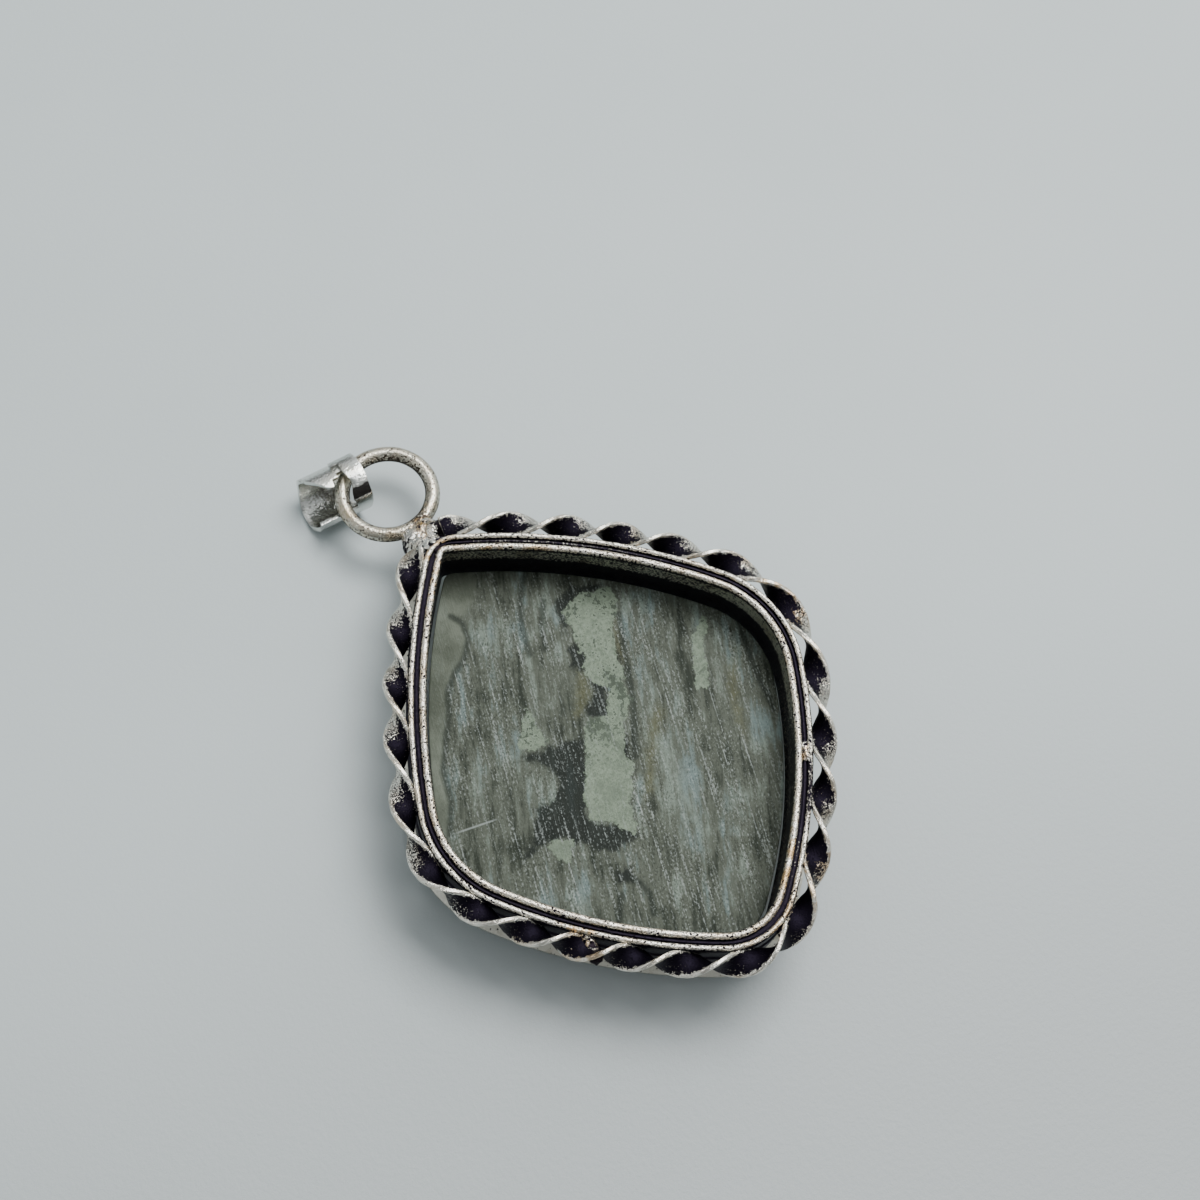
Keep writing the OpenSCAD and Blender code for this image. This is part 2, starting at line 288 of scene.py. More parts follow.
def roughened(tree, skin, size, depth, seed, detail=2.0):
    """Pushes a skin in and out by noise with lumps of that size."""
    noise = {"Scale": calc(tree, "DIVIDE", 1.0, size), "W": seed, "Detail": detail}
    noise = add(tree, "ShaderNodeTexNoise", noise, noise_dimensions="4D")
    amount = times(tree, minus(tree, noise.outputs["Fac"], 0.5), depth)
    normal = add(tree, "GeometryNodeInputNormal").outputs[0]
    push = add(tree, "ShaderNodeVectorMath", {0: normal, "Scale": amount}, operation="SCALE")
    return add(tree, "GeometryNodeSetPosition", {"Geometry": skin, "Offset": push.outputs[0]}).outputs[0]


def finished(tree, skin, finish):
    """Ends a tree with real faces in their material."""
    real = add(tree, "GeometryNodeRealizeInstances", {0: skin})
    done = add(tree, "GeometryNodeSetMaterial", {0: real.outputs[0], "Material": finish})
    add(tree, "NodeGroupOutput", {0: done.outputs[0]})
    return tree


def swept_tree():
    """Sweeps a section along a path, tilts it as it goes, and gives its skin hand-worked dents and grain."""
    tree, given = maker_tree("swept_silver", "Section", "Dent size", "Dent depth", "Grain size",
                             "Grain depth", "Seed")
    path = add(tree, "GeometryNodeMeshToCurve", {0: given["Geometry"]})
    upright = add(tree, "GeometryNodeSetCurveNormal", {"Curve": path.outputs[0]}, mode="Z_UP")
    lean = add(tree, "GeometryNodeInputNamedAttribute", {"Name": "tilt"}, data_type="FLOAT")
    tilted = add(tree, "GeometryNodeSetCurveTilt", {"Curve": upright.outputs[0], "Tilt": lean.outputs[0]})
    section = add(tree, "GeometryNodeObjectInfo", {0: given["Section"]})
    profile = add(tree, "GeometryNodeMeshToCurve", {0: section.outputs["Geometry"]})
    parts = {"Curve": tilted.outputs[0], "Profile Curve": profile.outputs[0], "Fill Caps": True}
    skin = add(tree, "GeometryNodeCurveToMesh", parts).outputs[0]
    for kind in ("Dent", "Grain"):
        skin = roughened(tree, skin, given[kind + " size"], given[kind + " depth"], given["Seed"])
    return finished(tree, skin, given["Finish"])


SWEPT = swept_tree()


def give_values(mesh, attributes):
    """Puts one number for each point on a mesh, under each name."""
    for name, values in attributes.items():
        attribute = mesh.attributes.new(name, "FLOAT", "POINT")
        attribute.data.foreach_set("value", np.array(values, np.float32))


def path_mesh(name, points, closed, **attributes):
    """Points in mm joined by edges, with values for each point."""
    mesh = bpy.data.meshes.new(name)
    n = len(points)
    edges = [(i, i + 1) for i in range(n - 1)] + ([(n - 1, 0)] if closed else [])
    mesh.from_pydata([tuple(p) for p in np.asarray(points, float) * MM], edges, [])
    give_values(mesh, attributes)
    return mesh


def made_by(tree, name, mesh, **inputs):
    """The plain mesh object that a node tree makes of a mesh."""
    maker = bpy.data.objects.new(name + "_maker", mesh)
    bpy.context.scene.collection.objects.link(maker)
    modifier = maker.modifiers.new("make", "NODES")
    modifier.node_group = tree
    for item in tree.interface.items_tree:
        key = item.name.replace(" ", "_")
        if item.in_out == "INPUT" and key in inputs:
            modifier[item.identifier] = inputs[key]
    maker.update_tag()
    made = bpy.data.meshes.new_from_object(maker.evaluated_get(bpy.context.evaluated_depsgraph_get()))
    made.name = name
    maker.modifiers.remove(modifier)
    bpy.data.objects.remove(maker)
    piece = bpy.data.objects.new(name, made)
    bpy.context.scene.collection.objects.link(piece)
    return piece


def finer(section, step):
    """A closed section with points no further apart than step."""
    points = []
    for a, b in zip(np.array(section, float), np.roll(np.array(section, float), -1, 0)):
        n = max(1, int(math.ceil(np.hypot(*(b - a)) / step)))
        points += [a + (b - a) * k / n for k in range(n)]
    return np.array(points)


def swept(name, points, section, finish, closed=True, tilt=None, dent=(3, 0), grit=(0.2, 0), seed=0):
    """A strip or wire of one section, [distance out, height], along points.

    Dent and grit are (size, depth), and tilt is the section's turn at each point."""
    flat = np.insert(np.array(section, float) * (1, -1), 2, 0, 1)[::-1]
    outline = bpy.data.objects.new("section", path_mesh("section", flat, True))
    bpy.context.scene.collection.objects.link(outline)
    lean = np.zeros(len(points)) if tilt is None else tilt
    path = path_mesh(name, points, closed, tilt=lean)
    piece = made_by(SWEPT, name, path, Section=outline, Dent_size=dent[0] * MM, Dent_depth=dent[1] * MM,
                    Grain_size=grit[0] * MM, Grain_depth=grit[1] * MM, Seed=float(seed), Finish=finish)
    bpy.data.objects.remove(outline)
    piece.data.shade_smooth()
    piece.data.set_sharp_from_angle(angle=math.radians(40))
    return piece


def of_points(piece, key):
    """The place or the normal of each of a piece's points."""
    values = np.zeros(len(piece.data.vertices) * 3)
    piece.data.vertices.foreach_get(key, values)
    return values.reshape(-1, 3)


def coords(piece):
    """Each point's place in mm."""
    return of_points(piece, "co") / MM


def smooth(value, low, high):
    """Nought to one while the value goes from low to high."""
    t = np.clip((value - low) / (high - low), 0, 1)
    return t * t * (3 - 2 * t)


def near(s, middle, half):
    """One around a place on the outline, going to nought half a length away.

    Lengths start before the ring corner and pass the right, far and left corners at 27, 52 and 75 of 98."""
    total = arc_lengths(0).sum()
    away = np.abs((s - middle + total / 2) % total - total / 2)
    return 1 - smooth(away, half * 0.4, half)


def attach(piece, node, slot, **attributes):
    """Gives a finished piece its values for each point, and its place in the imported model."""
    give_values(piece.data, attributes)
    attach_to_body(piece, "root")
    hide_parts(node)


def tarnish_group():
    """Silver that was blackened and rubbed: bright where it stands proud, pitted, black in the hollows; its
    rub value also carries painted highlights and painted shade on some pieces.
    """
    tree = bpy.data.node_groups.new("tarnish", "ShaderNodeTree")
    face = tree.interface
    for name, start in (("Rub", 0.5), ("Gold", 0.0), ("Speckle", 1.0), ("Pitting", 0.3), ("Grain", 4.0),
                        ("Bright roughness", 0.28)):
        face.new_socket(name, in_out="INPUT", socket_type="NodeSocketFloat").default_value = start
    for name in ("Silver", "Warm", "Oxide"):
        face.new_socket(name, in_out="INPUT", socket_type="NodeSocketColor")
    face.new_socket("Color", in_out="OUTPUT", socket_type="NodeSocketColor")
    for name in ("Roughness", "Metallic", "Height"):
        face.new_socket(name, in_out="OUTPUT", socket_type="NodeSocketFloat")
    given = add(tree, "NodeGroupInput").outputs
    place = in_mm(tree)
    coarse = grain(tree, place, times(tree, given["Grain"], 0.25), 4)
    fine = grain(tree, place, given["Grain"], 2, 0.7)
    spots = add(tree, "ShaderNodeTexVoronoi", {"Vector": place, "Scale": times(tree, given["Grain"], 0.6)})
    pit = times(tree, rise(tree, spots.outputs["Distance"], 0.36, 0.14), rise(tree, coarse, 0.08, -0.06))
    wave = plus(tree, times(tree, coarse, 0.35), times(tree, fine, 1.5))
    level = plus(tree, given["Rub"], times(tree, wave, given["Speckle"]))
    level = minus(tree, level, times(tree, pit, given["Pitting"]))
    bright = rise(tree, level, 0.4, 0.58)
    aged = rise(tree, grain(tree, place, 0.5, 4), -0.02, 0.18)
    metal = tinted(tree, times(tree, aged, 0.7), given["Silver"], given["Warm"])
    gold = times(tree, given["Gold"], rise(tree, grain(tree, place, 1.6, 3), -0.12, 0.1))
    metal = tinted(tree, gold, metal, (0.55, 0.36, 0.17, 1))
    color = tinted(tree, bright, given["Oxide"], metal)
    rough = plus(tree, between(tree, bright, 0.5, given["Bright roughness"]), times(tree, fine, 0.25))
    metallic = between(tree, bright, 0.9, 1.0)
    height = minus(tree, plus(tree, times(tree, bright, 0.6), fine), times(tree, pit, 0.6))
    add(tree, "NodeGroupOutput", {"Color": color, "Roughness": rough, "Metallic": metallic, "Height": height})
    return tree


TARNISH = tarnish_group()


def silver_finish(name, silver, warm=(0.62, 0.53, 0.4), oxide=(0.012, 0.009, 0.016), speckle=1.0, pitting=0.3,
                  grains=4.0, gloss=0.28, relief=0.05):
    """One silver piece's own finish: its bright, aged and black colours, and how coarse it is.

    Relief is in mm, and grains is the lumps to a millimetre."""
    material, tree, shader = new_material(name)
    # The rub value is worn silver against black oxide, and on some pieces also painted highlight and painted
    # shade.
    rub = add(tree, "ShaderNodeAttribute", attribute_name="rub").outputs["Fac"]
    gold = add(tree, "ShaderNodeAttribute", attribute_name="gold").outputs["Fac"]
    coat = add(tree, "ShaderNodeGroup", node_tree=TARNISH)
    tree.links.new(rub, coat.inputs["Rub"])
    tree.links.new(gold, coat.inputs["Gold"])
    values = {"Speckle": speckle, "Pitting": pitting, "Grain": grains, "Bright roughness": gloss}
    for key, value in values.items():
        coat.inputs[key].default_value = value
    for key, value in (("Silver", silver), ("Warm", warm), ("Oxide", oxide)):
        coat.inputs[key].default_value = (*value, 1)
    for key, socket in (("Color", "Base Color"), ("Roughness", "Roughness"), ("Metallic", "Metallic")):
        tree.links.new(coat.outputs[key], shader.inputs[socket])
    bump = {"Height": coat.outputs["Height"], "Strength": 0.8, "Distance": relief * MM}
    bump = add(tree, "ShaderNodeBump", bump)
    tree.links.new(bump.outputs[0], shader.inputs["Normal"])
    return material


GREY_SILVER = (0.66, 0.65, 0.57)
INNER_ARCS = outline_arcs(0.95)
wall_silver = silver_finish("wall_silver", GREY_SILVER, warm=(0.36, 0.31, 0.22), speckle=0.9,
                            pitting=0.4, grains=6, gloss=0.35)
wall_section = finer([(-LIP_IN, LIP_LOW), (0.28, 1.7), (WALL_OUT, 2.02), (WALL_OUT, GROOVE_Z),
                      (-WALL_IN, GROOVE_Z), (-WALL_IN, SEAT_Z + 0.14), (-SEAT_IN, SEAT_Z),
                      (-SEAT_IN, 2.14), (-LIP_IN, LIP_HIGH)], 0.35)
wall_path, _ = frame_path(0.2, 0, 0, arcs=INNER_ARCS)
wall = swept("bezel_wall", wall_path, wall_section, wall_silver, dent=(2.5, 0.05), grit=(0.3, 0.03), seed=1)
co = coords(wall)
s, r, _ = off_outline(co, INNER_ARCS)
# Rubbed in a band under the rim and along the seat's edge, with a painted reflection at the right corner,
# black elsewhere, and bright on the front lip, above which the outer face is painted dark as shade under the
# ribbon.
inside = (r < -0.4) & (co[:, 2] < GROOVE_Z - 0.05)
# The lift near the right corner is a painted reflection.
band = 0.28 + 0.22 * smooth(co[:, 2], SEAT_Z, SEAT_Z + 0.3) + 0.12 * near(s, 29, 9) - 0.26 * near(s, 43, 12)
edge = 0.62 * np.exp(-((co[:, 2] - SEAT_Z - 0.02) / 0.07) ** 2) * (r < -0.7)
rub = np.where(co[:, 2] > SEAT_Z + 0.1, band, 0.3 * near(s, 40, 16))
rub = np.where(inside, np.maximum(rub, edge), 0.03)
# Painted shade: above the lip the outer face is made dark, as shade under the ribbon.
front = 0.85 - 0.78 * smooth(co[:, 2], 1.8, 3.0)
rub = np.where((r > 0.5) | (co[:, 2] < 1.78), front, rub)
attach(wall, "setting", "oxidised_silver", rub=rub)

# THE RIM
# Two round wires soldered side by side on the wall's back edge, the inner one
# mitred at the ring corner, with the edge of a thin strip standing in the black
# groove between them. The wires' ends meet in a lumpy joint on the right.
rim_silver = silver_finish("rim_silver", (0.8, 0.77, 0.68), speckle=0.9, pitting=0.7, grains=6, gloss=0.27,
                           relief=0.08)


def wire_section(radius, low, foot):
    """A round wire that goes down to a foot, where it is soldered to the wall."""
    turns = np.radians(np.linspace(low, 180 - low, 18))
    arc = [(radius * math.cos(a), radius * math.sin(a)) for a in turns]
    return np.array(arc + [(arc[-1][0], foot), (arc[0][0], foot)])


for name, out, radius, low, arcs, seed in (("outer_rim_wire", 0.42, 0.21, -50, outline_arcs(1.9), 3),
                                           ("inner_rim_wire", -0.42, 0.275, -40, INNER_ARCS, 4)):
    centre_z = RIM_Z - radius
    path, _ = frame_path(0.1, out, centre_z, arcs=arcs)
    section = wire_section(radius, low, GROOVE_Z - 0.12 - centre_z)
    wire = swept(name, path, section, rim_silver, dent=(1.4, 0.07), grit=(0.22, 0.05), seed=seed)
    co = coords(wire)
    s, r, _ = off_outline(co, arcs)
    # Bright on top and black below, with brown left in a few places.
    up = (co[:, 2] - centre_z) / radius
    rub = 0.08 + 0.58 * smooth(up, -0.35, 0.75)
    if out < 0:
        rub += 0.1 * near(s, 40, 9)
        gold = 0.3 + 0.5 * near(s, 6, 4) * (r < -0.45) + 0.6 * near(s, 96, 3) + 0.6 * near(s, 45.5, 4)
    else:
        rub -= 0.25 * near(s, 40.5, 3.5)
        gold = 0.1 + 0.8 * near(s, 0.9, 1.6) + 0.7 * near(s, 51.2, 3) + 0.8 * near(s, 65, 2)
    attach(wire, "setting", "oxidised_silver", rub=rub, gold=np.clip(gold, 0, 1))

STRIP_OUT, STRIP_HALF, STRIP_FOOT, STRIP_TOP = 0.0325, 0.055, 6.6, 6.97
strip_silver = silver_finish("strip_silver", GREY_SILVER, speckle=0.5, grains=6, gloss=0.35)
strip_arcs = outline_arcs(1.4)
strip_path, _ = frame_path(0.14, STRIP_OUT, 0, arcs=strip_arcs)
strip_section = finer([(STRIP_HALF, STRIP_FOOT), (STRIP_HALF, STRIP_TOP), (-STRIP_HALF, STRIP_TOP),
                       (-STRIP_HALF, STRIP_FOOT)], 0.06)
strip = swept("groove_strip", strip_path, strip_section, strip_silver, dent=(1.2, 0.07), grit=(0.25, 0.04),
              seed=5)
co = coords(strip)
s, _, _ = off_outline(co, strip_arcs)
# Only its top edge shows silver, less at the right corner and none at the left.
rub = smooth(co[:, 2], 6.7, 6.85) * (0.4 - 0.3 * near(s, 30, 16)) * (1 - near(s, 74, 32))
attach(strip, "setting", "oxidised_silver", rub=rub, gold=np.zeros(len(co)))

# THE TWISTED RIBBON
# A flat strip twisted by hand about two dozen half turns and bent round the
# frame, soldered to the wall where its edges touch. Its outer side is rubbed
# silver, its edges are bright lines and its hollows are still black.
RIBBON_OUT, RIBBON_Z = 1.51, 6.55
RIBBON_W, RIBBON_T, RIBBON_ROUND = 0.97, 0.21, 0.09
HALF_TWISTS, GAP = 24, 1.25
ribbon_total = arc_lengths(RIBBON_OUT).sum()
corner_middle = arc_lengths(RIBBON_OUT)[0] / 2


def twist(s):
    """The strip's turn in degrees at a length along its own path; the hand runs ahead and behind."""
    t = 2 * math.pi * s / ribbon_total
    return (HALF_TWISTS / 2 * np.degrees(t) - 198 + 42 * np.sin(t + math.radians(102))
            + 25 * np.sin(2 * t - math.radians(94)) + 22 * np.sin(4 * t + math.radians(119)))


ribbon_silver = silver_finish("ribbon_silver", (0.82, 0.8, 0.72), oxide=(0.006, 0.004, 0.01), speckle=1.1,
                              pitting=0.3, grains=8.5, gloss=0.2, relief=0.06)
ribbon_path, ribbon_s = frame_path(0.11, RIBBON_OUT, RIBBON_Z, corner_middle + GAP,
                                   corner_middle + ribbon_total - GAP)
w, t, c = RIBBON_W, RIBBON_T, RIBBON_ROUND
ribbon_section = finer([(w, -t + c), (w, t - c), (w - c, t), (-w + c, t), (-w, t - c), (-w, -t + c),
                        (-w + c, -t), (w - c, -t)], 0.16)
ribbon = swept("twisted_ribbon", ribbon_path, ribbon_section, ribbon_silver, closed=False,
               tilt=-np.radians(twist(ribbon_s)), dent=(1.6, 0.1), grit=(0.35, 0.035), seed=6)
co = coords(ribbon)
base_s, r, outward = off_outline(co)
out, up = r - RIBBON_OUT, co[:, 2] - RIBBON_Z
# Rubbed where it faces out and bright along its edges, and darker along the bottom side as painted shade. The
# strip's own turn says where they are.
steps = ribbon_path[::6]
away = np.hypot(co[:, None, 0] - steps[None, :, 0], co[:, None, 1] - steps[None, :, 1])
turn = np.radians(twist(ribbon_s[::6][np.argmin(away, 1)]))
across = np.abs(out * np.cos(turn) - up * np.sin(turn))
normal = of_points(ribbon, "normal")
facing_out = normal[:, 0] * np.cos(outward) + normal[:, 1] * np.sin(outward)
edge = smooth(across, 0.68, 0.8)
rub = 0.07 + (0.42 + 0.15 * smooth(out, 0.3, 0.9)) * smooth(facing_out, -0.45, 0.35) * smooth(out, -0.5, 0.2)
# Painted shade: the faces along the bottom side are made darker, and the brightest outward faces there are
# left out.
rub += 0.15 * smooth(facing_out, 0.55, 0.95) * (1 - near(base_s, 64, 26)) - 0.36 * near(base_s, 61, 19)
rub = np.maximum(rub, 0.86 * edge * smooth(up + 0.6 * smooth(out, 0, 0.6), -0.7, 0.1))
gold = 0.12 + 0.6 * near(base_s, 27, 3) + 0.4 * near(base_s, 64.5, 2.5) + 0.5 * near(base_s, 47, 4)
attach(ribbon, "setting", "oxidised_silver", rub=rub, gold=np.clip(gold, 0, 1))

# THE RING
# A closed ring of round wire, bent and soldered at the frame's corner so that it leans a little. Its silver
# is worn and warm, with a painted highlight along its top and painted shade on its under side and round its
# hole.
RING = (-0.14, 26.0, 3.35)
RING_R, RING_WIRE, RING_DIP = 3.43, 0.57, math.radians(3)
BROWN_SPOT = (0.3, 16.9)
ring_silver = silver_finish("ring_silver", (0.56, 0.54, 0.46), warm=(0.42, 0.35, 0.24),
                            oxide=(0.05, 0.037, 0.027), speckle=0.8, pitting=0.3, grains=6, gloss=0.2,
                            relief=0.04)
turns = np.linspace(0, 2 * math.pi, 220, endpoint=False)
ring_path = np.column_stack((RING[0] + RING_R * np.cos(turns),
                             RING[1] - MIDDLE[1] + RING_R * np.sin(turns) * math.cos(RING_DIP),
                             RING[2] - RING_R * np.sin(turns) * math.sin(RING_DIP)))
wire_turns = np.linspace(0, 2 * math.pi, 36, endpoint=False)
ring_section = [(RING_WIRE * math.cos(a), RING_WIRE * math.sin(a)) for a in wire_turns]
ring = swept("corner_ring", ring_path, ring_section, ring_silver, dent=(2.2, 0.07), grit=(0.4, 0.02), seed=7)
co = coords(ring)
# A painted highlight on top and painted shade round the hole, with a brown spot beside the solder.
beyond = co[:, 1] - RING[1] + MIDDLE[1]
reach = np.hypot(co[:, 0] - RING[0], beyond) - RING_R
lift = co[:, 2] - RING[2] + beyond * math.tan(RING_DIP)
rub = 0.3 + 0.34 * smooth(lift, -0.4, 0.5) - 0.16 * smooth(-reach, 0.2, 0.57)
spot = np.exp(-((co[:, 0] - BROWN_SPOT[0]) ** 2 + (co[:, 1] - BROWN_SPOT[1]) ** 2) / 0.5)
attach(ring, "setting", "oxidised_silver", rub=rub - 0.25 * spot, gold=np.clip(0.15 + spot, 0, 1))

# THE SOLDER
# Silver solder run in between the ring and the corner, where it froze in
# bright grains over black pits, and small lumps at the joints of the wires and
# of the ribbon, where it is still copper brown.
WIRE_JOINT, FAR_LUMP, SIDE_LUMP = 38.4, 51.3, 64.3

# Each run goes from one (length along the outline, distance out, height, radius) to another.
SOLDER_RUNS = [
    ((1.42, 0.5, 6.4, 0.75), (1.18, 1.3, 5.7, 0.9)),
    ((1.18, 1.3, 5.7, 0.9), (1.3, 2.4, 4.4, 0.85)),
    ((1.3, 2.4, 4.4, 0.85), (1.6, 3.3, 3.7, 0.7)),
    ((1.31, 0.8, 5, 0.8), (1.2, 2, 4.2, 0.75)),
    ((0.41, 0.5, 5.5, 0.6), (0.85, 1.2, 4.9, 0.6)),
    ((2.51, 0.6, 5.6, 0.7), (1.56, 1.8, 4.8, 0.7)),
    ((1.4, 2.5, 4.7, 0.85), (2.1, 2.8, 4.6, 0.8)),
    ((2.2, 2.2, 5.0, 0.8), (2.9, 2.1, 5.4, 0.6)),
    ((37.9, 0.02, 7, 0.25), (38.9, 0.12, 7, 0.26)),
    ((51.2, 0.9, 6.5, 0.4), (51.3, 1.4, 6.4, 0.3)),
    ((64.7, 0.5, 6.5, 0.5), (63.7, 1.9, 6.3, 0.48)),
]


def lumps_tree():
    """Melts a cloud of beads into one skin and roughens it with grains."""
    tree, given = maker_tree("solder_lumps", "Fineness", "Grain size", "Grain depth", "Seed")
    size = add(tree, "GeometryNodeInputNamedAttribute", {"Name": "radius_m"}, data_type="FLOAT").outputs[0]
    beads = add(tree, "GeometryNodeMeshToPoints", {"Mesh": given["Geometry"], "Radius": size})
    melt = {"Points": beads.outputs[0], "Radius": size, "Voxel Size": given["Fineness"]}
    melt = add(tree, "GeometryNodePointsToVolume", melt, resolution_mode="VOXEL_SIZE")
    skin = {"Volume": melt.outputs[0], "Voxel Size": given["Fineness"]}
    skin = add(tree, "GeometryNodeVolumeToMesh", skin, resolution_mode="VOXEL_SIZE").outputs[0]
    skin = roughened(tree, skin, given["Grain size"], given["Grain depth"], given["Seed"], 3.0)
    return finished(tree, skin, given["Finish"])


beads = []
for first, last in SOLDER_RUNS:
    for k in np.linspace(0, 1, 7):
        along, out, z, radius = np.array(first) * (1 - k) + np.array(last) * k
        xy, turn = on_outline([along], 0)
        bead = xy[0] + out * np.array((math.cos(turn[0]), math.sin(turn[0]))) - MIDDLE
        beads.append((*bead, z, radius))
beads = np.array(beads)
solder_silver = silver_finish("solder_silver", (0.95, 0.93, 0.87), oxide=(0.012, 0.008, 0.012), speckle=1.6,
                              pitting=0.9, grains=3.2, gloss=0.17, relief=0.15)
bead_mesh = path_mesh("beads", beads[:, :3], False, radius_m=beads[:, 3] * MM)
solder = made_by(lumps_tree(), "solder", bead_mesh, Fineness=0.09 * MM, Grain_size=0.3 * MM,
                 Grain_depth=0.38 * MM, Seed=2.0, Finish=solder_silver)
solder.data.shade_smooth()
co = coords(solder)
s, _, _ = off_outline(co)
# The web between the ring and the corner is bright on top, and so are the joints.
beside_web = np.abs(co[:, 0] + 1.4 - 0.8 * smooth(co[:, 1], 14, 16))
web = smooth(-beside_web, -1.7, -1.1) * smooth(co[:, 1], 13.3, 14.0)
joint = near(s, WIRE_JOINT, 2) + 0.6 * near(s, FAR_LUMP, 2) + 0.52 * near(s, SIDE_LUMP, 3)
rub = 0.12 + 0.62 * web * smooth(co[:, 2], 3.2, 4.2) + 0.5 * joint * smooth(co[:, 2], 6.2, 6.9)
gold = 0.7 * near(s, WIRE_JOINT, 1) + 0.4 * near(s, FAR_LUMP, 2) + 0.7 * near(s, SIDE_LUMP, 3)
gold += np.exp(-((co[:, 0] + 0.2) ** 2 + (co[:, 1] - 16.2) ** 2) / 0.6)
attach(solder, "setting", "oxidised_silver", rub=rub, gold=np.clip(gold, 0, 1))

# THE STONE
# A grey-green stone cut to the frame's outline with a polished low dome, which
# lies on the surface, and a flat back that is only ground. Pale and dark
# patches run through it, and the grinding has left fine steep scratches.
STONE_IN = SEAT_IN + 0.055
BACK_Z, GIRDLE_Z, APEX, DOME_POWER = 3.1, 2.2, 0.12, 2.6
STONE_STEPS = 420
STREAK_DARK, STREAK_GREY = (0.02, 0.026, 0.017, 1), (0.085, 0.096, 0.074, 1)
LIGHT_GREEN, LIGHT_COOL = (0.165, 0.2, 0.165, 1), (0.135, 0.178, 0.168, 1)
PLAIN_DARK, PLAIN_LIGHT = (0.08, 0.092, 0.068, 1), (0.165, 0.185, 0.145, 1)
PALE_DARK, PALE_LIGHT = (0.13, 0.165, 0.118, 1), (0.215, 0.265, 0.195, 1)
BLACK_GREEN, TAN = (0.007, 0.011, 0.008, 1), (0.105, 0.105, 0.05, 1)
EATEN_GREEN, VEIN_GREEN, SOOT = (0.03, 0.04, 0.028, 1), (0.014, 0.02, 0.014, 1), (0.012, 0.015, 0.011, 1)
POWDER, NICK, SCRATCH = (0.4, 0.44, 0.42, 1), (0.34, 0.38, 0.36, 1), (0.42, 0.46, 0.44, 1)
STREAK_ANGLE, SCRATCH_ANGLE = 53, 66
PALE_PATCHES = [
    [(4.2, 4.6), (6.2, 5.0), (8.2, 3.8), (8.0, 2.6), (6.4, 1.2), (5.4, 0), (4.9, -1.4), (4.2, -2.6),
     (3.8, -3.8), (2.0, -5.0), (1.3, -6.0), (0.6, -6.6), (0.6, -7.6), (-0.3, -8.8), (-1.6, -9.9),
     (-2.1, -11.6), (-2.9, -11.7), (-3.4, -10.2), (-4.7, -9.0), (-3.9, -7.6), (-2.8, -6.4), (-2.0, -5.3),
     (-1.0, -4.2), (0.4, -3.0), (1.6, -3.9), (2.2, -2.9), (2.9, -2.2), (2.4, -1.0), (2.3, -0.1),
     (3.3, 0.8), (3.3, 2.4), (4.0, 3.4)],
    [(-2.9, 0.5), (-2.7, -0.5), (-3.2, -1.4), (-3.1, -2.4), (-4.0, -2.6), (-5.3, -1.9), (-5.1, -1.3),
     (-4.0, -0.6)],
    [(-8.4, -8.4), (-7.6, -8.5), (-6.6, -9.3), (-7.2, -9.9), (-8.0, -10.4), (-8.3, -9.7)],
    [(12.2, -2.2), (12.3, -2.9), (10.6, -4.4), (9.6, -5.9), (8.6, -7.0), (8.2, -6.3), (8.9, -5.0),
     (10.2, -3.4)],
]
DARK_PATCHES = [
    [(3.4, 2.2), (3.3, 0.8), (2.3, 0.2), (2.0, 1.0), (2.7, 2.0)],
    [(4.2, 5.6), (5.8, 5.6), (7.8, 4.6), (7.2, 4.3), (6.0, 5.0), (4.2, 4.5), (3.6, 3.4), (3.3, 3.0),
     (3.8, 4.6)],
    [(2.4, -0.9), (3.1, -1.1), (2.9, -2.2), (2.2, -2.9), (1.6, -3.9), (0.6, -3.2), (0.2, -2.6),
     (1.2, -2.2), (2.0, -1.8)],
    [(0.6, -6.0), (1.6, -6.0), (0.8, -6.9), (0.4, -6.8)],
    [(-5.4, -2.4), (-4.2, -2.7), (-3.2, -3.1), (-2.2, -3.4), (-1.2, -4.1), (-2.0, -5.4), (-2.9, -6.5),
     (-3.9, -7.7), (-4.8, -8.8), (-4.0, -10.2), (-2.9, -10.9), (-2.7, -11.9), (-4.2, -12.0),
     (-5.6, -11.2), (-6.4, -9.6), (-7.0, -8.6), (-8.6, -8.2), (-10.4, -8.4), (-8.4, -7.2), (-7.2, -6.0),
     (-5.6, -6.2), (-4.4, -5.2), (-4.6, -3.8)],
    [(-5.8, -13.2), (-4.4, -13.6), (-5.2, -14.2), (-6.0, -13.9)],
]
SMOOTH_PATCHES = [
    [(-2.6, 9.6), (-2.3, 8.6), (-2.7, 7.4), (-3.8, 6.4), (-5.2, 5.9), (-6.4, 5.2), (-7.6, 3.6),
     (-9.2, 2.0), (-10.6, 0.6), (-11.6, -1.6), (-13.2, -3.4), (-16, -3), (-16, 8), (-6, 13), (-3, 12.5)],
    [(-3.5, 13.5), (1.0, 12.0), (0.7, 10.6), (-0.5, 9.4), (-1.9, 9.0), (-2.6, 9.6), (-4.0, 9.5),
     (-5.0, 12.0)],
]
TAN_PATCHES = [
    [(12.6, -5.4), (10.0, -7.6), (8.6, -10.4), (8.2, -11.6), (8.9, -10.9), (10.6, -8.2), (12.9, -6.2)],
    [(5.2, -5.2), (3.6, -6.0), (1.0, -8.6), (-0.6, -10.4), (0.4, -10.2), (3.2, -7.6), (5.0, -6.2)],
    [(2.2, 0.4), (1.0, -0.6), (-0.6, -2.4), (0.2, -2.6), (1.8, -1.8), (2.2, -0.8)],
    [(7.6, 2.6), (6.6, 0.9), (5.4, -1.6), (4.9, -1.4), (5.9, 0.9), (7.0, 2.7)],
]
